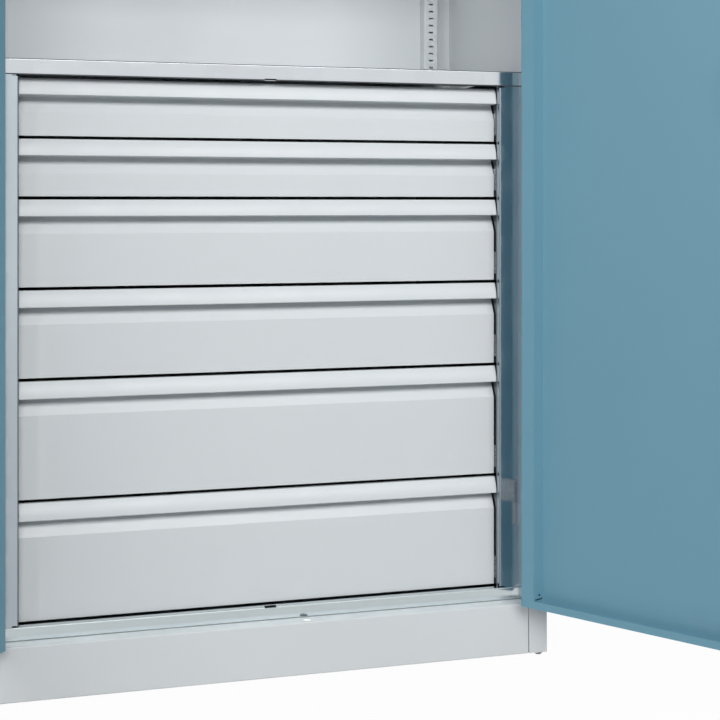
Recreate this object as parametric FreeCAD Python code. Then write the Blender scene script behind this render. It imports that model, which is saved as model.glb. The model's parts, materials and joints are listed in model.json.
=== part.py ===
import FreeCAD, Part
import math
import os

# Heavy-duty cupboard: two wing doors, six full-width drawers and an open upper compartment.
# Millimetres. While a piece is built, X = 0 is the middle, Y = 0 the front face of the stiles
# and Z = 0 the floor. Both doors are drawn closed and then swung to their resting angle.

# Outer sizes
WIDTH = 1000.0
DEPTH = 500.0
HEIGHT = 1950.0
FOOT_HEIGHT = 6.0
SHEET = 1.0
BEND_RADIUS = 1.2

# Front of the carcass
STILE_WIDTH = 34.5
STILE_RETURN = 24.5
STILE_LIP = 12.0
REAR_FLANGE = 20.0
PLINTH_HEIGHT = 89.6
PLINTH_SIDE_GAP = 2.2
PLINTH_FOOT_FLANGE = 15.0
LEDGE_DEPTH = 25.5
LEDGE_REAR_LIP = 4.0
RAIL_HEIGHT = 22.8
RAIL_FOOT_DEPTH = 9.4
RAIL_TOP_DEPTH = 11.4
HEADER_HEIGHT = 36.0
HEADER_STOP = 22.0
CENTRE_NOTCH_WIDTH = 20.0
CENTRE_NOTCH_HEIGHT = 3.0
CENTRE_NOTCH_FACE = 0.8
LEDGE_SMALL_HOLE = 2.2
LEDGE_HOLE_INSET = 17.8
LEDGE_HOLE_Y = 9.0
FLOOR_LIFT = 8.0
FLOOR_FLANGE = 12.0
BACK_HEM = 12.0
TOP_FLANGE_HEIGHT = 25.0
TOP_FLANGE_SETBACK = 5.0
TOP_FLANGE_REAR_GAP = 15.0

# Drawer block
DRAWER_PITCHES = [200.0, 200.0, 150.0, 150.0, 100.0, 100.0]
DRAWER_GAP = 5.4
DRAWER_RAIL_GAP = 1.0
DRAWER_SHELF_GAP = 3.5
DRAWER_SIDE_SPACE = 81.8
DRAWER_FACE_Y = 50.0
FRONT_SHEET = 1.2
FRONT_BACK_Y = 70.0
LIP_HEIGHT = 27.8
LIP_BACK = 3.7
LIP_CROWN = 3.5
LIP_BULGE = 10.2
LIP_REACH = 12.6
LIP_REBATE = 12.0
LIP_NOSE = 1.0
GRIP_DEPTH = 14.5
GRIP_CORNER = 2.0
GRIP_HEIGHT = 57.0
BOX_REAR_Y = 481.0
BOX_FLOOR_LIFT = 9.0
BOX_TOP_DROP = 27.0
BOX_RIM = 8.0
SHELF_EDGE = 26.7
SHELF_HEM = 14.0
SHELF_HEM_RISE = 10.0
SHELF_NOTCH_DEPTH = 6.0
FILLER_CLEARANCE = 0.8
FILLER_RETURN = 9.0
FILLER_SLOT_HEIGHT = 3.0
FILLER_SLOT_WIDTH = 10.0
HOUSING_OFFSET = 1.3
HOUSING_SETBACK = 15.0
HOUSING_FLANGE = 18.0
HOUSING_REAR_GAP = 5.0
HOUSING_RISE = 11.0

# Drawer slides
SLIDE_SPACE = 13.3
SLIDE_SHEET = 1.3
SLIDE_LIFT = 31.0
SLIDE_OUTER_HEIGHT = 45.0
SLIDE_OUTER_DEPTH = 9.8
SLIDE_MIDDLE_DEPTH = 7.9
SLIDE_INNER_DEPTH = 7.8
SLIDE_WEB_GAP = 1.2
SLIDE_TAB_DROP = 3.0
SLIDE_RADIUS = 1.0
SLIDE_REAR_INSET = 10.0
SLIDE_TAB_Y = 46.0
SLIDE_FRONT_GAP = 1.0
SLIDE_MIDDLE_INSET = 5.0
SLIDE_REAR_Y = 480.0

# Upper compartment
STRIP_WIDTH = 30.4
STRIP_DEPTH = 28.0
STRIP_INSET = 33.9
STRIP_TOP_GAP = 4.0
FRONT_STRIP_INSET = 1.5
SLOT_PITCH = 15.0
SLOT_WIDTH = 9.5
SLOT_HEIGHT = 3.6
SLOT_FIRST_LIFT = 22.9
SHELF_STEPS = [27, 43]
SHELF_SIDE_GAP = 4.0
SHELF_THICKNESS = 25.0
SHELF_FLANGE = 14.0
SHELF_END_GAP = 2.0
CLIP_RISE = 2.0
CLIP_SHEET = 1.5
CLIP_REACH = 20.0
CLIP_DROP = 26.0
CLIP_HALF_WIDTH = 9.0
CLIP_LAP = 18.0
CLIP_HOOK = 4.0

# Doors
DOOR_ANGLE = 127.6
DOOR_DEPTH = 25.0
DOOR_EDGE_GAP = 4.5
DOOR_END_GAP = 4.3
DOOR_MIDDLE_GAP = 3.0
DOOR_HINGE_LIP = 25.6
DOOR_HINGE_SPLAY = 5.6
DOOR_END_LIP = 13.0
DOOR_FREE_HEM = 12.0
DOOR_FREE_LIP = 18.0
DOOR_FREE_LAP = 10.0
DOOR_LIP_LAP = 6.0
DOOR_END_LAP = 4.0
RELIEF_HEIGHT = 2.6
RELIEF_INSET = 3.0
DRAIN_HOLE = 2.2
DRAIN_HOLE_RISE = 8.0
DRAIN_HOLE_Y = 11.0

# Hinges
HINGE_AXIS_INSET = 3.5
HINGE_AXIS_FORWARD = 5.0
HINGE_BARREL = 4.5
HINGE_PIN = 2.5
HINGE_HALF = 40.0
HINGE_LEAF = 1.2
HINGE_LEAF_DEPTH = 22.0
HINGE_END_OFFSET = 162.6
HINGE_COLLAR = 1.5
HINGE_MIDDLE_SHARE = 0.57
HINGE_PIN_DEPTH = 25.0
HINGE_PIN_SHORT = 6.0

# Lock
HANDLE_X = 49.0
HANDLE_Z = 1008.0
PLATE_HALF_WIDTH = 17.0
PLATE_HALF_HEIGHT = 45.0
PLATE_THICKNESS = 6.0
PLATE_CORNER = 14.0
PLATE_CHAMFER = 1.5
HUB_RADIUS = 15.0
HUB_LENGTH = 16.0
LEVER_LENGTH = 105.0
LEVER_HALF_WIDTH = 10.0
LEVER_THICKNESS = 10.0
LEVER_CORNER = 8.0
LEVER_CHAMFER = 1.8
SPINDLE_HALF = 4.0
SPINDLE_REACH = 9.0
SPINDLE_HOLE = 6.3
CORE_RADIUS = 7.0
CORE_LENGTH = 10.8
CORE_SINK = 12.0
KEYWAY_HALF_WIDTH = 1.0
KEYWAY_HALF_HEIGHT = 4.0
CAM_Y = 8.0
CAM_THICKNESS = 3.0
CAM_DISC = 20.0
CAM_RADIUS = 14.0
CAM_PIN = 2.5
CAM_PIN_LENGTH = 7.0
CAM_SLOT_SLACK = 0.6
ROD_RADIUS = 5.0
ROD_Y = 13.5
ROD_HOLE = 7.0
ROD_END_SINK = 0.6
ROD_EDGE_GAP = 0.6
ROD_PLATE_HALF = 8.0
ROD_PLATE_SHEET = 3.0
ROD_SLOT_HALF = 5.5
ROD_NECK_HALF = 5.0
ROD_NECK_LENGTH = 60.0
ROD_BAR_START = 50.0
CASE_SIDE = 24.0
CASE_FAR_SIDE = 30.0
CASE_HALF_HEIGHT = 42.0
CASE_FRONT_Y = 23.0
CASE_SHEET = 1.2
CASE_ROD_GAP = 1.5
GUIDE_END_OFFSET = 60.0
GUIDE_LOCK_OFFSET = 400.0
GUIDE_HALF_WIDTH = 10.0
GUIDE_HALF_HEIGHT = 8.0
GUIDE_COVER = 8.0
GUIDE_GAP = 0.2

# Strip on the left door that closes the joint
MEETING_LIFT = 1.5
MEETING_RETURN = 18.0
MEETING_LAP_GAP = 3.0
MEETING_END_GAP = 12.0

# Clearances
FIT_GAP = 0.3
RUN_GAP = 0.1

# Feet
FOOT_RADIUS = 8.0
FOOT_SCREW = 5.0
FOOT_INSET_X = 12.4
FOOT_INSET_Y = 12.0
FOOT_REAR_INSET = 28.0
FOOT_BEVEL = 3.0
FOOT_STEM = 45.0
BRACKET_Z = 24.0
BRACKET_SHEET = 3.0
BRACKET_HALF = 11.0
BOSS_RADIUS = 9.0
BOSS_HEIGHT = 8.0

# Heights and widths that follow from the sizes above
HALF = WIDTH / 2
INNER = HALF - SHEET
STILE_X = HALF - STILE_WIDTH
LEDGE_Z = FOOT_HEIGHT + PLINTH_HEIGHT
RAIL_TOP_Z = LEDGE_Z + RAIL_HEIGHT
FLOOR_TOP_Z = LEDGE_Z + FLOOR_LIFT
DRAWERS_Z = RAIL_TOP_Z + DRAWER_RAIL_GAP
COVER_Z = DRAWERS_Z + sum(DRAWER_PITCHES) - DRAWER_GAP + DRAWER_SHELF_GAP
COVER_TOP_Z = COVER_Z + SHELF_EDGE
HEADER_Z = HEIGHT - HEADER_HEIGHT
DRAWER_HALF_WIDTH = HALF - DRAWER_SIDE_SPACE
OPENING_X = DRAWER_HALF_WIDTH + FILLER_CLEARANCE
HOUSING_X = OPENING_X + HOUSING_OFFSET
BOX_X = HOUSING_X - SLIDE_SPACE
SLIDE_START_Y = FRONT_BACK_Y + SLIDE_FRONT_GAP
SLIDE_MIDDLE_HEIGHT = SLIDE_OUTER_HEIGHT - 2 * (SLIDE_SHEET + FIT_GAP)
SLIDE_INNER_HEIGHT = SLIDE_MIDDLE_HEIGHT - 2 * (SLIDE_SHEET + FIT_GAP)
STRIP_INNER_X = STILE_X - STRIP_INSET
BACK_Y = DEPTH - 2 * SHEET - FIT_GAP
DOOR_LOW = LEDGE_Z + DOOR_END_GAP
DOOR_HIGH = HEADER_Z - DOOR_END_GAP
DOOR_X0 = DOOR_MIDDLE_GAP / 2
DOOR_X1 = STILE_X - DOOR_EDGE_GAP
AXIS_X = STILE_X - HINGE_AXIS_INSET
AXIS_Y = -HINGE_AXIS_FORWARD
CAM_THROW = CAM_RADIUS * math.sin(math.radians(45))
ROD_OFFSET = 0.857 * CAM_RADIUS
LOWER_ROD_X = HANDLE_X + ROD_OFFSET
UPPER_ROD_X = HANDLE_X - ROD_OFFSET
REAR_STRIP_Y = BACK_Y - STRIP_DEPTH
FRONT_STRIP_Y = STILE_RETURN + FIT_GAP + STRIP_DEPTH
FRONT_STRIP_X = STILE_X + FRONT_STRIP_INSET

# The frame's origin is the middle of the footprint with the doors at rest
DOOR_SWING = math.radians(DOOR_ANGLE)
DOOR_REACH = (DOOR_X1 - DOOR_X0) + (AXIS_X - DOOR_X1)
FREE_Y = AXIS_Y - DOOR_REACH * math.sin(DOOR_SWING)
FREE_Y += (DOOR_DEPTH - AXIS_Y) * math.cos(DOOR_SWING)
ORIGIN_Y = (DEPTH + FREE_Y) / 2

PARTS = "parts"


def vec(x, y, z):
    return FreeCAD.Vector(x, y, z)


def block(x0, x1, y0, y1, z0, z1):
    return Part.makeBox(x1 - x0, y1 - y0, z1 - z0, vec(x0, y0, z0))


def rod(radius, start, direction, length):
    return Part.makeCylinder(radius, length, vec(*start), vec(*direction))


def fuse(shapes):
    whole = shapes[0]
    for other in shapes[1:]:
        whole = whole.fuse(other)
    return whole.removeSplitter()


def cut(shape, tools):
    for tool in tools:
        shape = shape.cut(tool)
    return shape.removeSplitter()


def group(solids):
    return Part.makeCompound(solids)


def mirrored(shape):
    return shape.mirror(vec(0, 0, 0), vec(1, 0, 0))


def place(point, plane):
    a, b = point
    if plane == "XY":
        return vec(a, b, 0)
    if plane == "YZ":
        return vec(0, a, b)
    return vec(a, 0, b)


def side_line(points, offset):
    """The corners of a path moved sideways to its left by the offset."""
    moved = []
    count = len(points)
    for i in range(count):
        normals = []
        for j in (i - 1, i):
            if 0 <= j < count - 1:
                dx = points[j + 1][0] - points[j][0]
                dy = points[j + 1][1] - points[j][1]
                size = math.hypot(dx, dy)
                normals.append((-dy / size, dx / size))
        nx = sum(n[0] for n in normals)
        ny = sum(n[1] for n in normals)
        if len(normals) == 1:
            scale = offset
        else:
            scale = 2 * offset / (nx * nx + ny * ny)
        moved.append((points[i][0] + nx * scale, points[i][1] + ny * scale))
    return moved


def rounded_edges(points, radii, plane):
    """Lines with an arc at each inner corner of an open path."""
    edges = []
    start = points[0]
    for i in range(1, len(points) - 1):
        corner = points[i]
        ax = points[i - 1][0] - corner[0]
        ay = points[i - 1][1] - corner[1]
        bx = points[i + 1][0] - corner[0]
        by = points[i + 1][1] - corner[1]
        la = math.hypot(ax, ay)
        lb = math.hypot(bx, by)
        ax, ay, bx, by = ax / la, ay / la, bx / lb, by / lb
        half = math.acos(max(-1.0, min(1.0, ax * bx + ay * by))) / 2
        run = radii[i] / math.tan(half)
        first = (corner[0] + ax * run, corner[1] + ay * run)
        last = (corner[0] + bx * run, corner[1] + by * run)
        mx, my = ax + bx, ay + by
        size = math.hypot(mx, my)
        reach = radii[i] / math.sin(half) - radii[i]
        middle = (corner[0] + mx / size * reach, corner[1] + my / size * reach)
        edges.append(Part.LineSegment(place(start, plane), place(first, plane)).toShape())
        arc = Part.Arc(place(first, plane), place(middle, plane), place(last, plane))
        edges.append(arc.toShape())
        start = last
    edges.append(Part.LineSegment(place(start, plane), place(points[-1], plane)).toShape())
    return edges


def folded(points, plane, low, high, sheet=SHEET, radius=BEND_RADIUS):
    """A folded sheet: the path is one face of the sheet, which lies to the path's left."""
    outer = [0.0] * len(points)
    inner = [0.0] * len(points)
    for i in range(1, len(points) - 1):
        ax = points[i][0] - points[i - 1][0]
        ay = points[i][1] - points[i - 1][1]
        bx = points[i + 1][0] - points[i][0]
        by = points[i + 1][1] - points[i][1]
        left = ax * by - ay * bx > 0
        outer[i] = radius + sheet if left else radius
        inner[i] = radius if left else radius + sheet
    other = side_line(points, sheet)
    edges = rounded_edges(points, outer, plane)
    edges.append(Part.LineSegment(place(points[-1], plane), place(other[-1], plane)).toShape())
    edges += rounded_edges(other[::-1], inner[::-1], plane)
    edges.append(Part.LineSegment(place(other[0], plane), place(points[0], plane)).toShape())
    face = Part.Face(Part.Wire(Part.__sortEdges__(edges)))
    along = {"XY": vec(0, 0, 1), "YZ": vec(1, 0, 0), "XZ": vec(0, 1, 0)}[plane]
    face.translate(along * low)
    return face.extrude(along * (high - low))


def swing(shape, side):
    """Turn a piece of a closed door to the door's resting angle, side 1 right and -1 left."""
    turned = shape.copy()
    turned.rotate(vec(side * AXIS_X, AXIS_Y, 0), vec(0, 0, 1), side * DOOR_ANGLE)
    return turned


def save(name, shape):
    placed = shape.copy()
    placed.translate(vec(0, -ORIGIN_Y, 0))
    placed.exportStep(os.path.join(PARTS, name + ".step"))


# Carcass

def side_wall():
    path = [(STILE_X + STILE_LIP, STILE_RETURN), (STILE_X, STILE_RETURN), (STILE_X, 0)]
    path += [(HALF, 0), (HALF, DEPTH), (HALF - REAR_FLANGE, DEPTH)]
    return folded(path, "XY", FOOT_HEIGHT, HEIGHT - SHEET)


def back_panel():
    path = [(BACK_Y - BACK_HEM, FOOT_HEIGHT), (BACK_Y + SHEET, FOOT_HEIGHT)]
    path += [(BACK_Y + SHEET, HEIGHT - SHEET - FIT_GAP)]
    side = INNER - 2 * FIT_GAP
    return folded(path, "YZ", -side, side)


def through_hole(radius, x, y, z):
    """A cutter for a hole down through one sheet at height z."""
    return rod(radius, (x, y, z - 3 * SHEET), (0, 0, 1), 6 * SHEET)


def top_panel():
    front = STILE_X - FIT_GAP
    path = [(DEPTH, HEIGHT), (0, HEIGHT), (0, HEADER_Z), (LEDGE_DEPTH, HEADER_Z)]
    path += [(LEDGE_DEPTH, HEADER_Z - HEADER_STOP)]
    header = folded(path, "YZ", -front, front)
    under = HEIGHT - SHEET
    lid = block(-HALF, HALF, STILE_RETURN, DEPTH, under, HEIGHT)
    corner = block(front, HALF, 0, STILE_RETURN, under, HEIGHT)
    side = INNER - FIT_GAP
    low = HEIGHT - TOP_FLANGE_HEIGHT
    flange = block(side - SHEET, side, STILE_RETURN + TOP_FLANGE_SETBACK,
                   BACK_Y - TOP_FLANGE_REAR_GAP, low, HEIGHT)
    rear = block(-side, side, BACK_Y - FIT_GAP - SHEET, BACK_Y - FIT_GAP, low, HEIGHT)
    whole = fuse([header, lid, corner, mirrored(corner), flange, mirrored(flange), rear])
    return cut(whole, [through_hole(ROD_HOLE, UPPER_ROD_X, ROD_Y, HEADER_Z)])


def floor_panel():
    low = FLOOR_TOP_Z - FLOOR_FLANGE
    front = LEDGE_DEPTH + RAIL_TOP_DEPTH + SHEET + FIT_GAP
    back = BACK_Y - FIT_GAP
    path = [(back, low), (back, FLOOR_TOP_Z), (front, FLOOR_TOP_Z), (front, low)]
    return folded(path, "YZ", -(INNER - FIT_GAP), INNER - FIT_GAP)


def plinth_front():
    side = STILE_X - PLINTH_SIDE_GAP
    rear = LEDGE_DEPTH + RAIL_TOP_DEPTH
    path = [(rear, LEDGE_Z - LEDGE_REAR_LIP), (rear, LEDGE_Z), (0, LEDGE_Z)]
    path += [(0, FOOT_HEIGHT), (PLINTH_FOOT_FLANGE, FOOT_HEIGHT)]
    sheet = folded(path, "YZ", -side, side)
    holes = [through_hole(ROD_HOLE, LOWER_ROD_X, ROD_Y, LEDGE_Z)]
    for x in (STILE_X - LEDGE_HOLE_INSET, -(STILE_X - LEDGE_HOLE_INSET)):
        holes.append(through_hole(LEDGE_SMALL_HOLE, x, LEDGE_HOLE_Y, LEDGE_Z))
    return cut(sheet, holes)


def bottom_rail():
    side = STILE_X - PLINTH_SIDE_GAP / 2
    front = LEDGE_DEPTH
    back = front + RAIL_TOP_DEPTH
    path = [(back, RAIL_TOP_Z), (front, RAIL_TOP_Z), (front, LEDGE_Z)]
    path += [(front + RAIL_FOOT_DEPTH, LEDGE_Z)]
    sheet = folded(path, "YZ", -side, side)
    half = CENTRE_NOTCH_WIDTH / 2
    notch = block(-half, half, front - SHEET, back - CENTRE_NOTCH_HEIGHT,
                  RAIL_TOP_Z - SHEET - CENTRE_NOTCH_FACE, RAIL_TOP_Z + SHEET)
    return cut(sheet, [notch])


def cover_shelf():
    side = STILE_X - PLINTH_SIDE_GAP / 2
    front = LEDGE_DEPTH
    hem = front + SHELF_HEM
    path = [(BACK_Y - FIT_GAP, COVER_Z), (BACK_Y - FIT_GAP, COVER_TOP_Z), (front, COVER_TOP_Z)]
    path += [(front, COVER_Z), (hem, COVER_Z), (hem, COVER_Z + SHELF_HEM_RISE)]
    sheet = folded(path, "YZ", -side, side)
    half = CENTRE_NOTCH_WIDTH / 2
    notch = block(-half, half, front - SHEET, front + SHELF_NOTCH_DEPTH, COVER_Z - SHEET,
                  COVER_Z + CENTRE_NOTCH_HEIGHT)
    return cut(sheet, [notch])


def filler():
    outer = STILE_X - PLINTH_SIDE_GAP / 2
    front = LEDGE_DEPTH
    back = front + FILLER_RETURN
    path = [(OPENING_X, back), (OPENING_X, front), (outer, front), (outer, back)]
    sheet = folded(path, "XY", RAIL_TOP_Z, COVER_Z)
    slots = []
    for z in (RAIL_TOP_Z, COVER_Z - FILLER_SLOT_HEIGHT):
        slots.append(block(OPENING_X - SHEET, OPENING_X + FILLER_SLOT_WIDTH, front - SHEET,
                           back + SHEET, z, z + FILLER_SLOT_HEIGHT))
    return cut(sheet, slots)


def housing_side():
    front = LEDGE_DEPTH + HOUSING_SETBACK
    back = BACK_Y - HOUSING_REAR_GAP
    flange = HOUSING_X + HOUSING_FLANGE
    path = [(flange, back), (HOUSING_X, back), (HOUSING_X, front), (flange, front)]
    return folded(path, "XY", FLOOR_TOP_Z, COVER_Z + HOUSING_RISE)


def slide_member(web_x, depth, height, centre_z, front, back):
    """One C-shaped rail of a slide on the right; its flanges reach by the depth from the web."""
    top = centre_z + height / 2
    low = centre_z - height / 2
    tip_x = web_x + depth
    path = [(tip_x, low), (web_x, low), (web_x, top), (tip_x, top)]
    if depth > 0:
        path = path[::-1]
    return folded(path, "XZ", front, back, SLIDE_SHEET, SLIDE_RADIUS)


def slide_z(bottom):
    return bottom + SLIDE_LIFT


def cabinet_rails(bottoms):
    """The fixed rails; a flat tab of each one's web reaches forward beside the drawer front."""
    rails = []
    half = SLIDE_OUTER_HEIGHT / 2 - SLIDE_TAB_DROP
    for bottom in bottoms:
        z = slide_z(bottom)
        member = slide_member(HOUSING_X, -SLIDE_OUTER_DEPTH, SLIDE_OUTER_HEIGHT, z,
                              SLIDE_START_Y, SLIDE_REAR_Y)
        tab = block(HOUSING_X - SLIDE_SHEET, HOUSING_X, SLIDE_TAB_Y, SLIDE_START_Y,
                    z - half, z + half)
        rail = fuse([member, tab])
        rails += [rail, mirrored(rail)]
    return group(rails)


def middle_rails(bottom):
    web = HOUSING_X - SLIDE_SHEET - SLIDE_WEB_GAP
    member = slide_member(web, -SLIDE_MIDDLE_DEPTH, SLIDE_MIDDLE_HEIGHT, slide_z(bottom),
                          SLIDE_START_Y + SLIDE_MIDDLE_INSET, SLIDE_REAR_Y - SLIDE_REAR_INSET)
    return group([member, mirrored(member)])


def drawer_rails(bottom):
    member = slide_member(BOX_X, SLIDE_INNER_DEPTH, SLIDE_INNER_HEIGHT, slide_z(bottom),
                          FRONT_BACK_Y + FIT_GAP, SLIDE_REAR_Y)
    return group([member, mirrored(member)])


def front_section(bottom, height, inset):
    """A drawer front in side view: its outer outline, or the outline of its hollow."""
    top = bottom + height
    face = DRAWER_FACE_Y
    back = FRONT_BACK_Y
    lip_low = top - LIP_HEIGHT
    lip_back = face + LIP_BACK
    crown = face - LIP_CROWN
    bulge_y = face - LIP_BULGE
    bulge_z = top - LIP_HEIGHT / 2
    nose = face - LIP_REACH
    rebate = top - LIP_REBATE
    root = face + GRIP_DEPTH
    grip_low = top - GRIP_HEIGHT
    sheet = FRONT_SHEET
    if inset:
        corners = [(bulge_y + sheet, bulge_z), (nose + sheet, lip_low + 2 * sheet)]
        corners += [(nose + 2 * sheet, lip_low + sheet)]
        corners += [(root - GRIP_CORNER, lip_low + sheet), (root + sheet, lip_low - GRIP_CORNER)]
        corners += [(face + sheet, grip_low), (face + sheet, bottom + sheet)]
        corners += [(back + sheet, bottom + sheet), (back + sheet, rebate - sheet)]
        corners += [(lip_back - sheet, rebate - sheet), (lip_back - sheet, top - sheet)]
        corners += [(crown + sheet, top - sheet)]
        return polygon(corners)
    corners = [(nose, lip_low + LIP_NOSE), (nose + LIP_NOSE, lip_low)]
    corners += [(root - GRIP_CORNER, lip_low), (root, lip_low - GRIP_CORNER)]
    corners += [(face, grip_low), (face, bottom), (back, bottom), (back, rebate)]
    corners += [(lip_back, rebate), (lip_back, top), (crown, top)]
    points = [place(corner, "YZ") for corner in corners]
    edges = [Part.LineSegment(a, b).toShape() for a, b in zip(points[:-1], points[1:])]
    bulge = place((bulge_y, bulge_z), "YZ")
    edges.append(Part.Arc(points[-1], bulge, points[0]).toShape())
    return Part.Face(Part.Wire(edges))


def polygon(corners):
    points = [place(corner, "YZ") for corner in corners]
    return Part.Face(Part.makePolygon(points + points[:1]))


def drawer_front(bottom, height):
    """A folded front: a convex grip lip, the recess under it and the slope to the flat face."""
    solids = []
    for inset in (False, True):
        half = DRAWER_HALF_WIDTH - (FRONT_SHEET if inset else 0.0)
        face = front_section(bottom, height, inset)
        face.translate(vec(-half, 0, 0))
        solids.append(face.extrude(vec(2 * half, 0, 0)))
    return cut(solids[0], [solids[1]])


def drawer_box(bottom, height):
    """A folded tray with a front and a rear wall welded in; each of the three is a solid."""
    low = bottom + BOX_FLOOR_LIFT
    high = bottom + height - BOX_TOP_DROP
    path = [(-BOX_X + BOX_RIM, high), (-BOX_X, high), (-BOX_X, low)]
    path += [(BOX_X, low), (BOX_X, high), (BOX_X - BOX_RIM, high)]
    tray = folded(path, "XZ", FRONT_BACK_Y, BOX_REAR_Y)
    half = BOX_X - SHEET - BEND_RADIUS
    foot = low + SHEET
    top = high - SHEET
    walls = []
    for y, flange in ((FRONT_BACK_Y, BOX_RIM), (BOX_REAR_Y, -BOX_RIM)):
        path = [(y + flange, top), (y, top), (y, foot)]
        if flange < 0:
            path = path[::-1]
        walls.append(folded(path, "YZ", -half, half))
    return group([tray] + walls)


# Upper compartment

def strip(x0, face_y, facing):
    """A slotted hat-section strip; facing -1 looks forward and 1 looks backward."""
    x1 = x0 + STRIP_WIDTH
    foot = face_y - facing * STRIP_DEPTH
    path = [(x0, foot), (x0, face_y), (x1, face_y), (x1, foot)]
    if facing < 0:
        path = path[::-1]
    path = path[::-1]
    low = COVER_TOP_Z + FIT_GAP
    high = HEADER_Z - HEADER_STOP - STRIP_TOP_GAP
    sheet = folded(path, "XY", low, high)
    centre = (x0 + x1) / 2
    slots = []
    z = low + SLOT_FIRST_LIFT
    while z < high - SLOT_PITCH:
        slots.append(block(centre - SLOT_WIDTH / 2, centre + SLOT_WIDTH / 2, face_y - 3 * SHEET,
                           face_y + 3 * SHEET, z - SLOT_HEIGHT / 2, z + SLOT_HEIGHT / 2))
        z += SLOT_PITCH
    return sheet.cut(group(slots))


def slot_z(step):
    return COVER_TOP_Z + FIT_GAP + SLOT_FIRST_LIFT + step * SLOT_PITCH


def shelf_low(step):
    return slot_z(step) + SLOT_HEIGHT / 2 + CLIP_RISE


def shelf(step):
    low = shelf_low(step)
    high = low + SHELF_THICKNESS
    side = STILE_X - SHELF_SIDE_GAP
    front = FRONT_STRIP_Y + SHELF_END_GAP
    back = REAR_STRIP_Y - SHELF_END_GAP
    path = [(back - SHELF_FLANGE, low), (back, low), (back, high), (front, high), (front, low)]
    path += [(front + SHELF_FLANGE, low)]
    return folded(path, "YZ", -side, side)


def shelf_clips():
    """Angle clips that hook into the strips' slots, one under each shelf corner."""
    clips = []
    for step in SHELF_STEPS:
        slot = slot_z(step)
        ledge = shelf_low(step)
        for face_y, facing, x in ((REAR_STRIP_Y, -1, STRIP_INNER_X),
                                  (FRONT_STRIP_Y, 1, FRONT_STRIP_X)):
            centre = x + STRIP_WIDTH / 2
            outer = centre + CLIP_HALF_WIDTH
            inner = min(centre - CLIP_HALF_WIDTH, STILE_X - SHELF_SIDE_GAP - CLIP_LAP)
            y0, y1 = sorted((face_y, face_y + facing * CLIP_REACH))
            top = block(inner, outer, y0, y1, ledge - CLIP_SHEET, ledge)
            y0, y1 = sorted((face_y, face_y + facing * CLIP_SHEET))
            plate = block(inner, outer, y0, y1, ledge - CLIP_DROP, ledge)
            y0, y1 = sorted((face_y + facing * CLIP_SHEET / 2, face_y - facing * CLIP_HOOK))
            hook = block(centre - CLIP_HOOK, centre + CLIP_HOOK, y0, y1,
                         slot - SLOT_HEIGHT / 2 + FIT_GAP, slot + SLOT_HEIGHT / 2 - 2 * FIT_GAP)
            clip = fuse([top, plate, hook])
            clips += [clip, mirrored(clip)]
    return group(clips)


# Feet

def foot_centres():
    x = HALF - FOOT_INSET_X
    rear = DEPTH - FOOT_REAR_INSET
    return [(x, FOOT_INSET_Y), (-x, FOOT_INSET_Y), (x, rear), (-x, rear)]


def levelling_feet():
    feet = []
    for x, y in foot_centres():
        pad = Part.makeCone(FOOT_RADIUS - FOOT_BEVEL, FOOT_RADIUS, FOOT_BEVEL, vec(x, y, 0),
                            vec(0, 0, 1))
        disc = rod(FOOT_RADIUS, (x, y, FOOT_BEVEL), (0, 0, 1), FOOT_HEIGHT + SHEET)
        stem = rod(FOOT_SCREW, (x, y, FOOT_HEIGHT), (0, 0, 1), FOOT_STEM)
        feet.append(fuse([pad, disc, stem]))
    return group(feet)


def foot_brackets():
    """A threaded plate welded into each lower corner of the side walls."""
    plates = []
    x0 = STILE_X + SHEET
    x1 = INNER
    top = BRACKET_Z + BRACKET_SHEET
    for x, y in foot_centres():
        if y < DEPTH / 2:
            y0, y1 = SHEET + BEND_RADIUS, STILE_RETURN - SHEET - BEND_RADIUS
        else:
            y0, y1 = y - BRACKET_HALF, y + BRACKET_HALF
        low, high = sorted((math.copysign(x0, x), math.copysign(x1, x)))
        plate = block(low, high, y0, y1, BRACKET_Z, top)
        boss = rod(BOSS_RADIUS, (x, y, top), (0, 0, 1), BOSS_HEIGHT)
        hole = rod(FOOT_SCREW + RUN_GAP, (x, y, 0), (0, 0, 1), top + 2 * BOSS_HEIGHT)
        plates.append(cut(fuse([plate, boss]), [hole]))
    return group(plates)


# Doors

def door_panel():
    """The right door's pan: skin, edge flanges with lips and the splayed box on the hinge side."""
    depth = DOOR_DEPTH
    edge = DOOR_X0 + DOOR_FREE_HEM
    inner_lip = DOOR_X1 - DOOR_HINGE_LIP
    foot = inner_lip - DOOR_HINGE_SPLAY
    skin_path = [(DOOR_X0, 0), (DOOR_X1, 0), (DOOR_X1, depth), (inner_lip + DOOR_LIP_LAP, depth)]
    splay_path = [(inner_lip + DOOR_LIP_LAP + 2 * SHEET, depth), (inner_lip, depth)]
    splay_path += [(foot, SHEET / 2)]
    skin = folded(skin_path, "XY", DOOR_LOW, DOOR_HIGH)
    splay = folded(splay_path, "XY", DOOR_LOW, DOOR_HIGH)
    free_path = [(edge + DOOR_FREE_LIP, depth), (edge, depth), (edge, SHEET)]
    free_path += [(edge + DOOR_FREE_LAP, SHEET)]
    free_side = folded(free_path, "XY", DOOR_LOW, DOOR_HIGH)
    ends = []
    for low, lip_low in ((DOOR_LOW, DOOR_LOW), (DOOR_HIGH - SHEET, DOOR_HIGH - DOOR_END_LIP)):
        ends.append(block(edge, DOOR_X1 - SHEET / 2, SHEET / 2, depth, low, low + SHEET))
        ends.append(block(edge, inner_lip + DOOR_END_LAP, depth - SHEET, depth, lip_low,
                          lip_low + DOOR_END_LIP))
    pan = fuse([skin, splay, free_side] + ends)
    return cut(pan, corner_reliefs(foot, inner_lip))


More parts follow.
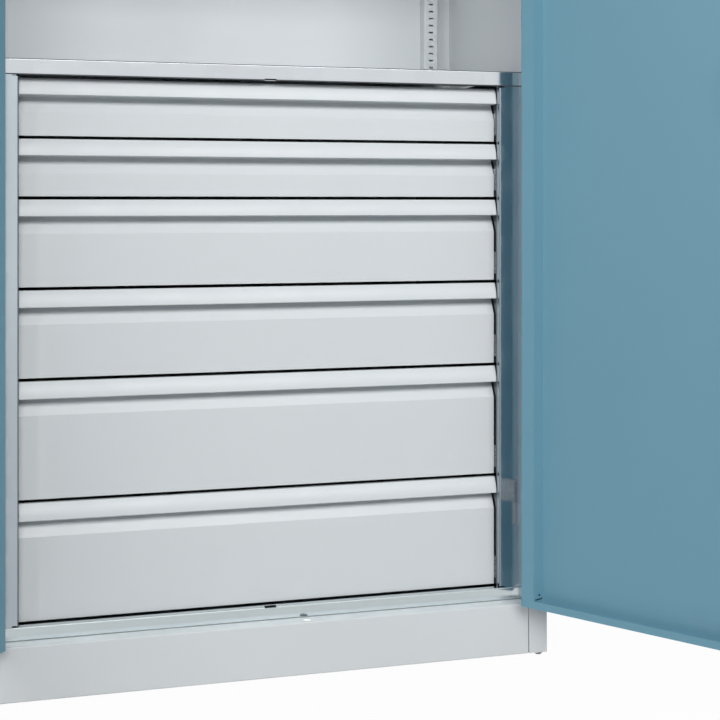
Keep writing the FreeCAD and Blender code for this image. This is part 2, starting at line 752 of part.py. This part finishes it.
def corner_reliefs(foot, inner_lip):
    """Cutters for the relief slots at the splay's ends and the small holes beside them."""
    cutters = []
    left = foot - SHEET
    right = inner_lip - SHEET / 4
    low_slot = DOOR_LOW + DOOR_END_LIP
    high_slot = DOOR_HIGH - DOOR_END_LIP - RELIEF_HEIGHT
    for z in (low_slot, high_slot):
        cutters.append(block(left, right, RELIEF_INSET, DOOR_DEPTH - RELIEF_INSET, z,
                             z + RELIEF_HEIGHT))
    for z in (low_slot + DRAIN_HOLE_RISE, high_slot + RELIEF_HEIGHT - DRAIN_HOLE_RISE):
        start = (left, DRAIN_HOLE_Y, z)
        cutters.append(rod(DRAIN_HOLE, start, (1, 0, 0), DOOR_HINGE_SPLAY + SHEET))
    return cutters


def right_door():
    lower_hole = through_hole(ROD_RADIUS + ROD_EDGE_GAP, LOWER_ROD_X, ROD_Y, DOOR_LOW)
    upper_hole = through_hole(ROD_RADIUS + ROD_EDGE_GAP, UPPER_ROD_X, ROD_Y, DOOR_HIGH)
    spindle_hole = rod(SPINDLE_HOLE, (HANDLE_X, -SHEET, HANDLE_Z), (0, 1, 0), 4 * SHEET)
    return cut(door_panel(), [lower_hole, upper_hole, spindle_hole])


def left_door():
    return mirrored(door_panel())


def hinge_heights():
    low = DOOR_LOW + HINGE_END_OFFSET
    high = DOOR_HIGH - HINGE_END_OFFSET
    return [low, low + HINGE_MIDDLE_SHARE * (high - low), high]


def door_hinges():
    """The door halves of the lift-off hinges, welded to the door's hinge edge."""
    halves = []
    for middle in hinge_heights():
        z = middle + HINGE_COLLAR + RUN_GAP
        barrel = rod(HINGE_BARREL, (AXIS_X, AXIS_Y, z), (0, 0, 1), HINGE_HALF)
        leaf = block(DOOR_X1, DOOR_X1 + HINGE_LEAF, AXIS_Y, HINGE_LEAF_DEPTH, z, z + HINGE_HALF)
        bore = rod(HINGE_PIN + RUN_GAP, (AXIS_X, AXIS_Y, z - SHEET), (0, 0, 1),
                   HINGE_HALF - HINGE_PIN)
        halves.append(cut(fuse([barrel, leaf]), [bore]))
    return group(halves)


def frame_hinges():
    halves = []
    for z in hinge_heights():
        low = z - HINGE_HALF
        barrel = rod(HINGE_BARREL, (AXIS_X, AXIS_Y, low), (0, 0, 1), HINGE_HALF)
        leaf = block(STILE_X - HINGE_LEAF, STILE_X, AXIS_Y, HINGE_LEAF_DEPTH, low, z)
        bore = rod(HINGE_PIN + RUN_GAP, (AXIS_X, AXIS_Y, z - HINGE_PIN_DEPTH), (0, 0, 1),
                   HINGE_PIN_DEPTH + SHEET)
        half = cut(fuse([barrel, leaf]), [bore])
        halves += [half, mirrored(half)]
    return group(halves)


def hinge_pins():
    pins = []
    for z in hinge_heights():
        pin = rod(HINGE_PIN, (AXIS_X, AXIS_Y, z - HINGE_PIN_DEPTH), (0, 0, 1),
                  HINGE_PIN_DEPTH + HINGE_HALF - HINGE_PIN_SHORT)
        collar = rod(HINGE_BARREL, (AXIS_X, AXIS_Y, z), (0, 0, 1), HINGE_COLLAR)
        whole = fuse([pin, collar])
        pins += [whole, mirrored(whole)]
    return group(pins)


def meeting_strip():
    """The angle on the left door that closes the gap behind the right door's hem."""
    edge = DOOR_X0 + DOOR_FREE_HEM
    y = SHEET + MEETING_LIFT
    path = [(-edge, MEETING_RETURN), (-edge, y), (edge - MEETING_LAP_GAP, y)]
    return folded(path, "XY", DOOR_LOW + MEETING_END_GAP, DOOR_HIGH - MEETING_END_GAP)


# Lock

def square_bar(half, y0, y1):
    return block(HANDLE_X - half, HANDLE_X + half, y0, y1, HANDLE_Z - half, HANDLE_Z + half)


def escutcheon():
    plate = block(HANDLE_X - PLATE_HALF_WIDTH, HANDLE_X + PLATE_HALF_WIDTH, -PLATE_THICKNESS, 0,
                  HANDLE_Z - PLATE_HALF_HEIGHT, HANDLE_Z + PLATE_HALF_HEIGHT)
    corners = [e for e in plate.Edges if abs(e.BoundBox.YLength - PLATE_THICKNESS) < 0.01]
    plate = plate.makeFillet(PLATE_CORNER, corners)
    front = [e for e in plate.Edges if e.BoundBox.YMax < -PLATE_THICKNESS + 0.1]
    plate = plate.makeChamfer(PLATE_CHAMFER, front)
    hole = rod(SPINDLE_HOLE, (HANDLE_X, -2 * PLATE_THICKNESS, HANDLE_Z), (0, 1, 0),
               3 * PLATE_THICKNESS)
    return cut(plate, [hole])


def handle_lever():
    """The swivel lever, drawn level towards the hinge side as it rests unlocked."""
    start = -PLATE_THICKNESS - FIT_GAP
    front = start - HUB_LENGTH
    hub = rod(HUB_RADIUS, (HANDLE_X, start, HANDLE_Z), (0, -1, 0), HUB_LENGTH)
    arm = block(HANDLE_X, HANDLE_X + LEVER_LENGTH, front, front + LEVER_THICKNESS,
                HANDLE_Z - LEVER_HALF_WIDTH, HANDLE_Z + LEVER_HALF_WIDTH)
    ends = [e for e in arm.Edges if abs(e.BoundBox.YLength - LEVER_THICKNESS) < 0.01]
    tip = [e for e in ends if e.BoundBox.XMin > HANDLE_X + LEVER_LENGTH / 2]
    arm = arm.makeFillet(LEVER_CORNER, tip)
    spindle = square_bar(SPINDLE_HALF, start - SHEET, SPINDLE_REACH)
    whole = fuse([hub, arm, spindle])
    rim = [e for e in whole.Edges if e.BoundBox.YMax < front + 0.1]
    whole = whole.makeChamfer(LEVER_CHAMFER, rim)
    well = rod(CORE_RADIUS + RUN_GAP, (HANDLE_X, -CORE_SINK, HANDLE_Z), (0, -1, 0), HUB_LENGTH)
    return cut(whole, [well])


def lock_cylinder():
    core = rod(CORE_RADIUS, (HANDLE_X, -CORE_SINK, HANDLE_Z), (0, -1, 0), CORE_LENGTH)
    front = -CORE_SINK - CORE_LENGTH
    keyway = block(HANDLE_X - KEYWAY_HALF_WIDTH, HANDLE_X + KEYWAY_HALF_WIDTH, front - SHEET,
                   front + CORE_LENGTH / 2, HANDLE_Z - KEYWAY_HALF_HEIGHT,
                   HANDLE_Z + KEYWAY_HALF_HEIGHT)
    return cut(core, [keyway])


def lock_cam():
    """A disc on the spindle with two pins, turned to the unlocked position."""
    disc = rod(CAM_DISC, (HANDLE_X, CAM_Y, HANDLE_Z), (0, 1, 0), CAM_THICKNESS)
    pins = []
    for side in (1, -1):
        start = (HANDLE_X + side * CAM_THROW, CAM_Y + CAM_THICKNESS - SHEET,
                 HANDLE_Z + side * CAM_THROW)
        pins.append(rod(CAM_PIN, start, (0, 1, 0), CAM_PIN_LENGTH))
    return cut(fuse([disc] + pins), [square_bar(SPINDLE_HALF, CAM_Y - SHEET, SPINDLE_REACH)])


def lock_rod(x, pin_z, end_z, direction):
    """A locking rod: a slotted end plate on the cam pin and a round bar to the door's edge."""
    half = ROD_PLATE_HALF
    y0 = ROD_Y - ROD_PLATE_SHEET / 2
    y1 = ROD_Y + ROD_PLATE_SHEET / 2
    plate = block(x - half, x + half, y0, y1, pin_z - half, pin_z + half)
    slack = CAM_PIN + CAM_SLOT_SLACK
    slot = block(x - ROD_SLOT_HALF, x + ROD_SLOT_HALF, y0 - SHEET, y1 + SHEET, pin_z - slack,
                 pin_z + slack)
    low, high = sorted((pin_z + direction * half * 0.75, pin_z + direction * ROD_NECK_LENGTH))
    neck = block(x - ROD_NECK_HALF, x + ROD_NECK_HALF, y0, y1, low, high)
    low, high = sorted((pin_z + direction * ROD_BAR_START, end_z))
    bar = rod(ROD_RADIUS, (x, ROD_Y, low), (0, 0, 1), high - low)
    return cut(fuse([plate, neck, bar]), [slot])


def lock_case():
    """A cover screwed to the inside of the door over the cam and the rods' ends."""
    x0 = HANDLE_X - CASE_SIDE
    x1 = HANDLE_X + CASE_FAR_SIDE
    z0 = HANDLE_Z - CASE_HALF_HEIGHT
    z1 = HANDLE_Z + CASE_HALF_HEIGHT
    outer = block(x0, x1, SHEET, CASE_FRONT_Y, z0, z1)
    inner = block(x0 + CASE_SHEET, x1 - CASE_SHEET, 0, CASE_FRONT_Y - CASE_SHEET,
                  z0 + CASE_SHEET, z1 - CASE_SHEET)
    shell = outer.cut(inner)
    half = ROD_RADIUS + CASE_ROD_GAP
    ways = []
    for x, z in ((LOWER_ROD_X, z0), (UPPER_ROD_X, z1)):
        ways.append(block(x - half, x + half, ROD_Y - half, ROD_Y + half, z - 2 * CASE_SHEET,
                          z + 2 * CASE_SHEET))
    return cut(shell, ways)


def rod_guides():
    guides = []
    for x, heights in ((LOWER_ROD_X, (DOOR_LOW + GUIDE_END_OFFSET, HANDLE_Z - GUIDE_LOCK_OFFSET)),
                       (UPPER_ROD_X, (DOOR_HIGH - GUIDE_END_OFFSET, HANDLE_Z + GUIDE_LOCK_OFFSET))):
        for z in heights:
            body = block(x - GUIDE_HALF_WIDTH, x + GUIDE_HALF_WIDTH, SHEET, ROD_Y + GUIDE_COVER,
                         z - GUIDE_HALF_HEIGHT, z + GUIDE_HALF_HEIGHT)
            hole = rod(ROD_RADIUS + GUIDE_GAP, (x, ROD_Y, z - 2 * GUIDE_HALF_HEIGHT), (0, 0, 1),
                       4 * GUIDE_HALF_HEIGHT)
            guides.append(cut(body, [hole]))
    return group(guides)


def build():
    os.makedirs(PARTS, exist_ok=True)
    wall = side_wall()
    save("side_wall_right", wall)
    save("side_wall_left", mirrored(wall))
    save("back_panel", back_panel())
    save("top_panel", top_panel())
    save("floor_panel", floor_panel())
    save("plinth_front", plinth_front())
    save("bottom_rail", bottom_rail())
    save("drawer_cover_shelf", cover_shelf())
    part = filler()
    save("filler_right", part)
    save("filler_left", mirrored(part))
    part = housing_side()
    save("housing_side_right", part)
    save("housing_side_left", mirrored(part))

    bottoms = []
    z = DRAWERS_Z
    for pitch in DRAWER_PITCHES:
        bottoms.append(z)
        z += pitch
    save("cabinet_rails", cabinet_rails(bottoms))
    for i, pitch in enumerate(DRAWER_PITCHES):
        number = len(DRAWER_PITCHES) - i
        height = pitch - DRAWER_GAP
        save("drawer_%d_front" % number, drawer_front(bottoms[i], height))
        save("drawer_%d_box" % number, drawer_box(bottoms[i], height))
        save("drawer_%d_rails" % number, drawer_rails(bottoms[i]))
        save("drawer_%d_middle_rails" % number, middle_rails(bottoms[i]))

    rear = strip(STRIP_INNER_X, REAR_STRIP_Y, -1)
    save("rear_shelf_strips", group([rear, mirrored(rear)]))
    front = strip(FRONT_STRIP_X, FRONT_STRIP_Y, 1)
    save("front_shelf_strips", group([front, mirrored(front)]))
    save("lower_shelf", shelf(SHELF_STEPS[0]))
    save("upper_shelf", shelf(SHELF_STEPS[1]))
    save("shelf_clips", shelf_clips())
    save("levelling_feet", levelling_feet())
    save("foot_brackets", foot_brackets())

    save("right_door_panel", swing(right_door(), 1))
    save("left_door_panel", swing(left_door(), -1))
    halves = door_hinges()
    save("right_door_hinges", swing(halves, 1))
    save("left_door_hinges", swing(mirrored(halves), -1))
    save("frame_hinges", frame_hinges())
    save("hinge_pins", hinge_pins())
    save("meeting_strip", swing(meeting_strip(), -1))

    save("escutcheon", swing(escutcheon(), 1))
    save("handle_lever", swing(handle_lever(), 1))
    save("lock_cylinder", swing(lock_cylinder(), 1))
    save("lock_cam", swing(lock_cam(), 1))
    bar = lock_rod(UPPER_ROD_X, HANDLE_Z - CAM_THROW, DOOR_HIGH - ROD_END_SINK, 1)
    save("upper_rod", swing(bar, 1))
    bar = lock_rod(LOWER_ROD_X, HANDLE_Z + CAM_THROW, DOOR_LOW + ROD_END_SINK, -1)
    save("lower_rod", swing(bar, 1))
    save("lock_case", swing(lock_case(), 1))
    save("rod_guides", swing(rod_guides(), 1))


build()
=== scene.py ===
import json
import math

import bmesh
import bpy
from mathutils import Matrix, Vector

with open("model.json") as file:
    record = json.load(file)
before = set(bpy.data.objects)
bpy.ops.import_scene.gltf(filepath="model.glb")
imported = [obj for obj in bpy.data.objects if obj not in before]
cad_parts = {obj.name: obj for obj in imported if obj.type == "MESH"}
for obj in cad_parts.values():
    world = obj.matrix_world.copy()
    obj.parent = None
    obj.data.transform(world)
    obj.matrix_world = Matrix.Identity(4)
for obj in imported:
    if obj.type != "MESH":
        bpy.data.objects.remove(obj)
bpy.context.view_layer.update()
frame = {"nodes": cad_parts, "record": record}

nodes = frame["nodes"]
slots = {part["node"]: part["material_slot"] for part in frame["record"]["subparts"]}

# Camera, fitted to the photograph's edges
CAMERA_PLACE = (-0.4533, -2.1281, 0.8099)
CAMERA_TURN = 14.485
CAMERA_LENS = 62.77
CAMERA_SENSOR = 36.0
CAMERA_SHIFT = (0.0543, -0.2194)
CAMERA_REACH = 60.0

# Colours as they show in plain light, red, green and blue from 0 to 255
CARCASS_GREY = (213, 217, 219)
# The drawer coat is the carcass's powder made a shade darker: painted shade.
DRAWER_GREY = (211, 215, 217)
DOOR_BLUE = (108, 154, 173)
ZINC_SHEET = (206, 211, 216)
# The filler, housing and rail sheets are copies of the bright zinc. The filler and housing
# sheets are darker and bluer, which is painted shade. The rail sheet is lighter and greener,
# which is painted light. Their tints are partly the sheets' own.
SHADED_FILLER_SHEET = (186, 196, 203)
SHADED_HOUSING_SHEET = (186, 198, 206)
LIT_RAIL_SHEET = (212, 221, 223)
RAIL_STEEL = (176, 180, 184)
PLATED_STEEL = (190, 193, 196)
MOULDED_BLACK = (38, 39, 41)
CHROME = (214, 216, 220)
FOOT_GREY = (150, 152, 155)
WHITE = (1.0, 1.0, 1.0, 1.0)

# The parts of a noise's range that a surface uses
MIDDLE_BAND = (0.3, 0.7)
UPPER_BAND = (0.35, 0.75)

# How square to an axis a face is from the bend to the flat
FLAT_BAND = (0.985, 0.998)

# How sharp an outer edge is from where its coat starts to look thinner
EDGE_BAND = (0.52, 0.62)

# Where each door's tight bend faces at rest, and how far round it the bend is painted darker and
# loses its highlight
RIGHT_BEND_SIDE = (-0.33, -0.944, 0.0)
LEFT_BEND_SIDE = (0.33, -0.944, 0.0)
BEND_BAND = (0.88, 0.94)

COAT_SPECULAR = 0.5
FLOOR_SPECULAR = 0.1
FLOOR_ROUGHNESS = 0.8
FLOOR_HALF = 6.0
FLOOR_DROP = 0.0005
FLOOR_COLOUR = (0.5, 0.5, 0.5, 1.0)
FLOOR_GLOW = 0.97
FLOOR_MIRROR_GLOW = 0.6

WORLD_STRENGTH = 0.02

# Each lamp's place, the point it is turned to, its width, its height and its watts
LAMPS = {
    "key_light": ((0.0, -6.5, 4.4), (0.0, 0.0, 0.6), 6.0, 2.4, 368.0),
    "left_light": ((-5.4, -4.9, 3.6), (0.0, 0.0, 0.8), 3.0, 2.4, 188.0),
    "right_light": ((4.0, -6.0, 3.8), (0.0, 0.0, 0.8), 3.0, 2.4, 28.0),
    "rear_light": ((0.6, 6.5, 3.6), (0.0, 0.5, 0.9), 4.0, 3.0, 260.0),
    "far_side_light": ((6.0, 1.6, 3.2), (0.5, 0.2, 0.9), 3.0, 2.4, 150.0),
    "near_side_light": ((-6.0, 2.6, 3.2), (-0.5, 0.4, 0.9), 3.0, 2.4, 130.0),
}


def linear(channel):
    """A channel from 0 to 255 with the display's curve taken off."""
    value = channel / 255
    if value <= 0.04045:
        return value / 12.92
    return ((value + 0.055) / 1.055) ** 2.4


def colour(rgb, shade=1.0):
    return tuple(linear(channel) * shade for channel in rgb) + (1.0,)


class Shader:
    """A small helper that adds and joins nodes of one material."""

    def __init__(self, name):
        self.material = bpy.data.materials.new(name)
        self.material.use_nodes = True
        self.tree = self.material.node_tree
        self.main = self.tree.nodes["Principled BSDF"]
        coordinates = self.add("ShaderNodeTexCoord")
        self.place = coordinates.outputs["Object"]
        self.normal = coordinates.outputs["Normal"]

    def add(self, kind, **values):
        node = self.tree.nodes.new(kind)
        for key, value in values.items():
            setattr(node, key, value)
        return node

    def join(self, output, target):
        self.tree.links.new(output, target)

    def noise(self, scale, detail=2.0, roughness=0.5, stretch=None):
        node = self.add("ShaderNodeTexNoise")
        node.inputs["Scale"].default_value = scale
        node.inputs["Detail"].default_value = detail
        node.inputs["Roughness"].default_value = roughness
        where = self.place
        if stretch:
            mapping = self.add("ShaderNodeMapping")
            mapping.inputs["Scale"].default_value = stretch
            self.join(where, mapping.inputs["Vector"])
            where = mapping.outputs["Vector"]
        self.join(where, node.inputs["Vector"])
        return node.outputs["Fac"]

    def ramp(self, source, low, high, from_low=0.0, from_high=1.0):
        node = self.add("ShaderNodeMapRange")
        node.inputs["From Min"].default_value = from_low
        node.inputs["From Max"].default_value = from_high
        node.inputs["To Min"].default_value = low
        node.inputs["To Max"].default_value = high
        self.join(source, node.inputs["Value"])
        return node.outputs["Result"]

    def mix(self, factor, first, second):
        """A blend of two colours, each a socket or a plain colour."""
        node = self.add("ShaderNodeMix", data_type="RGBA")
        self.join(factor, node.inputs[0])
        for value, slot in ((first, node.inputs[6]), (second, node.inputs[7])):
            if hasattr(value, "links"):
                self.join(value, slot)
            else:
                slot.default_value = value
        return node.outputs[2]

    def greater(self, first, second):
        node = self.add("ShaderNodeMath", operation="MAXIMUM")
        self.join(first, node.inputs[0])
        self.join(second, node.inputs[1])
        return node.outputs[0]

    def facing(self):
        """How far a face looks along each of the object's axes, from nought to one."""
        parts = self.add("ShaderNodeSeparateXYZ")
        around = self.add("ShaderNodeVectorMath", operation="ABSOLUTE")
        self.join(self.normal, around.inputs[0])
        self.join(around.outputs[0], parts.inputs[0])
        return parts.outputs

    def toward(self, side, low, high):
        """Nought on faces turned away from that side, rising to one on those that face it."""
        share = self.add("ShaderNodeVectorMath", operation="DOT_PRODUCT")
        self.join(self.normal, share.inputs[0])
        share.inputs[1].default_value = side
        return self.ramp(share.outputs["Value"], 0.0, 1.0, low, high)

    def bump(self, height, strength, distance, normal=None):
        node = self.add("ShaderNodeBump")
        node.inputs["Strength"].default_value = strength
        node.inputs["Distance"].default_value = distance
        self.join(height, node.inputs["Height"])
        if normal:
            self.join(normal, node.inputs["Normal"])
        return node.outputs["Normal"]


def powder_coat(name, rgb, gloss=0.42, painted_shade_side=None):
    """Satin powder coat on sheet steel: a slight orange-peel skin, fine grain, faint unevenness.

    A tight bend that faces the given side is painted a little darker and keeps no highlight:
    painted shade.
    """
    s = Shader(name)
    cloud = s.noise(2.3, 3.0)
    grain = s.noise(900.0, 2.0, 0.6)
    base = s.mix(s.ramp(cloud, 0.0, 1.0, *MIDDLE_BAND), colour(rgb, 0.985), colour(rgb, 1.012))
    base = s.mix(s.ramp(grain, 0.0, 0.22, *UPPER_BAND), base, colour(rgb, 0.93))
    worn = s.add("ShaderNodeNewGeometry").outputs["Pointiness"]
    base = s.mix(s.ramp(worn, 0.0, 0.35, *EDGE_BAND), base, colour(rgb, 1.03))
    s.main.inputs["Specular IOR Level"].default_value = COAT_SPECULAR
    if painted_shade_side:
        # Bends facing that side get painted shade, ten percent darker, and lose their specular
        # highlight.
        painted_bend_mask = s.toward(painted_shade_side, *BEND_BAND)
        base = s.mix(painted_bend_mask, base, colour(rgb, 0.9))
        s.join(s.ramp(painted_bend_mask, COAT_SPECULAR, 0.0), s.main.inputs["Specular IOR Level"])
    s.join(base, s.main.inputs["Base Color"])
    rough = s.ramp(s.noise(11.0, 3.0), gloss - 0.05, gloss + 0.06, *MIDDLE_BAND)
    s.join(rough, s.main.inputs["Roughness"])
    peel = s.bump(s.noise(420.0, 2.0), 0.10, 0.0006)
    fine = s.bump(grain, 0.06, 0.0002, peel)
    s.join(fine, s.main.inputs["Normal"])
    return s.material


def bare_zinc(name, rgb, gloss=0.13, painted_bend_shade=0.28, painted_side_shade=1.0):
    """Bright galvanised sheet: near-mirror metal with faint crystal patches and rolling lines.

    Its bends are painted darker than its flats, painted shade in place of their highlights, and
    so are the side faces where their painted shade is below one.
    """
    s = Shader(name)
    cells = s.add("ShaderNodeTexVoronoi")
    cells.inputs["Scale"].default_value = 38.0
    s.join(s.place, cells.inputs["Vector"])
    patch = s.add("ShaderNodeSeparateColor")
    s.join(cells.outputs["Color"], patch.inputs["Color"])
    lines = s.noise(60.0, 3.0, 0.6, stretch=(1.0, 1.0, 26.0))
    film = s.noise(5.0, 4.0, 0.6)
    base = s.mix(s.ramp(patch.outputs["Red"], 0.0, 0.3), colour(rgb), colour(rgb, 0.92))
    base = s.mix(s.ramp(lines, 0.0, 0.3, 0.35, 0.7), base, colour(rgb, 0.94))
    base = s.mix(s.ramp(film, 0.0, 0.5, 0.4, 0.7), base, colour(rgb, 0.96))
    # Bends and side faces are mixed toward darker copies of the sheet colour: painted shade.
    across, along, up = s.facing()
    bend = s.ramp(s.greater(s.greater(across, along), up), 1.0, 0.0, *FLAT_BAND)
    side = s.ramp(across, 0.0, 1.0, *FLAT_BAND)
    base = s.mix(side, base, colour(rgb, painted_side_shade))
    s.join(s.mix(bend, base, colour(rgb, painted_bend_shade)), s.main.inputs["Base Color"])
    rough = s.ramp(patch.outputs["Green"], gloss - 0.03, gloss + 0.03)
    s.join(s.greater(rough, s.ramp(bend, 0.0, 0.5)), s.main.inputs["Roughness"])
    s.join(s.bump(lines, 0.03, 0.0001), s.main.inputs["Normal"])
    s.main.inputs["Metallic"].default_value = 1.0
    return s.material


def plated(name, rgb, gloss=0.3):
    """Zinc-plated steel with drawn lines and a slightly clouded film."""
    s = Shader(name)
    cloud = s.noise(40.0, 3.0)
    lines = s.noise(300.0, 2.0, 0.6, stretch=(1.0, 0.05, 1.0))
    base = s.mix(s.ramp(cloud, 0.0, 1.0, *MIDDLE_BAND), colour(rgb, 0.92), colour(rgb, 1.05))
    s.join(base, s.main.inputs["Base Color"])
    rough = s.ramp(lines, gloss - 0.08, gloss + 0.1, *MIDDLE_BAND)
    s.join(rough, s.main.inputs["Roughness"])
    s.join(s.bump(lines, 0.08, 0.0002), s.main.inputs["Normal"])
    s.main.inputs["Metallic"].default_value = 1.0
    return s.material


def moulded(name, rgb, gloss=0.45):
    """Moulded plastic with a fine eroded grain."""
    s = Shader(name)
    grain = s.noise(1400.0, 2.0, 0.6)
    cloud = s.noise(30.0, 3.0)
    base = s.mix(s.ramp(cloud, 0.0, 1.0, *MIDDLE_BAND), colour(rgb, 0.9), colour(rgb, 1.15))
    s.join(base, s.main.inputs["Base Color"])
    rough = s.ramp(grain, gloss - 0.06, gloss + 0.08, *MIDDLE_BAND)
    s.join(rough, s.main.inputs["Roughness"])
    s.join(s.bump(grain, 0.25, 0.0002), s.main.inputs["Normal"])
    return s.material


def polished(name, rgb):
    """Polished chrome with faint handling marks."""
    s = Shader(name)
    marks = s.noise(160.0, 4.0, 0.7)
    base = s.mix(s.ramp(marks, 0.0, 1.0), colour(rgb, 0.95), colour(rgb, 1.03))
    s.join(base, s.main.inputs["Base Color"])
    s.join(s.ramp(marks, 0.05, 0.16, *UPPER_BAND), s.main.inputs["Roughness"])
    s.main.inputs["Metallic"].default_value = 1.0
    return s.material


# Finishes, by the name of a node or else of its slot
# The filler, housing and rail sheets carry their own painted shade on bends and side faces.
filler_zinc = bare_zinc("filler_zinc_sheet", SHADED_FILLER_SHEET, 0.17, 0.5, 0.85)
housing_zinc = bare_zinc("housing_zinc_sheet", SHADED_HOUSING_SHEET, 0.17, 0.42, 0.33)
finishes = {
    "carcass_grey": powder_coat("carcass_grey_coat", CARCASS_GREY),
    "drawer_grey": powder_coat("drawer_grey_coat", DRAWER_GREY),
    "door_blue": powder_coat("door_blue_coat", DOOR_BLUE),
    "left_door_panel": powder_coat("left_door_coat", DOOR_BLUE, painted_shade_side=LEFT_BEND_SIDE),
    "right_door_panel": powder_coat("right_door_coat", DOOR_BLUE, painted_shade_side=RIGHT_BEND_SIDE),
    "bottom_rail": bare_zinc("rail_zinc_sheet", LIT_RAIL_SHEET, painted_bend_shade=0.62),
    "filler_left": filler_zinc,
    "filler_right": filler_zinc,
    "housing_side_left": housing_zinc,
    "housing_side_right": housing_zinc,
    "galvanised": bare_zinc("bright_zinc_sheet", ZINC_SHEET),
    "slide_steel": plated("slide_steel_plating", RAIL_STEEL),
    "zinc_plated": plated("zinc_plating", PLATED_STEEL),
    "black_plastic": moulded("black_moulding", MOULDED_BLACK),
    "bright_chrome": polished("chrome_plating", CHROME),
    "foot_plastic": moulded("grey_moulding", FOOT_GREY),
}

for name, thing in nodes.items():
    finish = finishes.get(name) or finishes[slots[name]]
    for entry in thing.material_slots:
        entry.material = finish


# Floor
def flat_sheet(name, half, z):
    mesh = bpy.data.meshes.new(name)
    build = bmesh.new()
    corners = [build.verts.new((x, y, z)) for x, y in
               ((-half, -half), (half, -half), (half, half), (-half, half))]
    build.faces.new(corners)
    build.to_mesh(mesh)
    build.free()
    thing = bpy.data.objects.new(name, mesh)
    bpy.context.collection.objects.link(thing)
    return thing


def floor_material():
    s = Shader("pale_floor")
    s.main.inputs["Base Color"].default_value = FLOOR_COLOUR
    s.main.inputs["Roughness"].default_value = FLOOR_ROUGHNESS
    s.main.inputs["Specular IOR Level"].default_value = FLOOR_SPECULAR
    glow = s.add("ShaderNodeEmission")
    glow.inputs["Strength"].default_value = 1.0
    rays = s.add("ShaderNodeLightPath")
    seen = s.ramp(rays.outputs["Is Camera Ray"], 0.0, FLOOR_GLOW)
    mirrored = s.ramp(rays.outputs["Is Glossy Ray"], 0.0, FLOOR_MIRROR_GLOW)
    clear = s.ramp(rays.outputs["Is Transmission Ray"], 0.0, FLOOR_GLOW)
    share = s.greater(s.greater(seen, mirrored), clear)
    blend = s.add("ShaderNodeMixShader")
    s.join(share, blend.inputs[0])
    s.join(s.main.outputs[0], blend.inputs[1])
    s.join(glow.outputs[0], blend.inputs[2])
    s.join(blend.outputs[0], s.tree.nodes["Material Output"].inputs["Surface"])
    return s.material


floor = flat_sheet("floor_plane", FLOOR_HALF, -FLOOR_DROP)
floor.data.materials.append(floor_material())


# Light
def world_light():
    """A white world for the camera and in mirrors, and a faint one on the object."""
    world = bpy.data.worlds.new("studio")
    bpy.context.scene.world = world
    world.use_nodes = True
    tree = world.node_tree
    back = tree.nodes["Background"]
    back.inputs["Color"].default_value = WHITE
    rays = tree.nodes.new("ShaderNodeLightPath")
    seen = rays.outputs["Is Camera Ray"]
    for kind in ("Is Glossy Ray", "Is Transmission Ray"):
        larger = tree.nodes.new("ShaderNodeMath")
        larger.operation = "MAXIMUM"
        tree.links.new(seen, larger.inputs[0])
        tree.links.new(rays.outputs[kind], larger.inputs[1])
        seen = larger.outputs[0]
    level = tree.nodes.new("ShaderNodeMapRange")
    level.inputs["To Min"].default_value = WORLD_STRENGTH
    level.inputs["To Max"].default_value = 1.0
    tree.links.new(seen, level.inputs["Value"])
    tree.links.new(level.outputs["Result"], back.inputs["Strength"])


def softbox(name, place, aim, width, height, watts):
    data = bpy.data.lights.new(name, "AREA")
    data.shape = "RECTANGLE"
    data.size = width
    data.size_y = height
    data.energy = watts
    lamp = bpy.data.objects.new(name, data)
    lamp.location = place
    lamp.rotation_euler = (Vector(aim) - Vector(place)).to_track_quat("-Z", "Y").to_euler()
    bpy.context.collection.objects.link(lamp)


world_light()
for name, lamp in LAMPS.items():
    softbox(name, *lamp)

# Camera
view = bpy.data.cameras.new("photo_view")
view.sensor_fit = "HORIZONTAL"
view.sensor_width = CAMERA_SENSOR
view.lens = CAMERA_LENS
view.shift_x, view.shift_y = CAMERA_SHIFT
view.clip_end = CAMERA_REACH
camera = bpy.data.objects.new("photo_view", view)
camera.location = CAMERA_PLACE
camera.rotation_euler = (math.radians(90), 0.0, math.radians(-CAMERA_TURN))
bpy.context.collection.objects.link(camera)
bpy.context.scene.camera = camera

bpy.context.scene.view_settings.view_transform = "Standard"
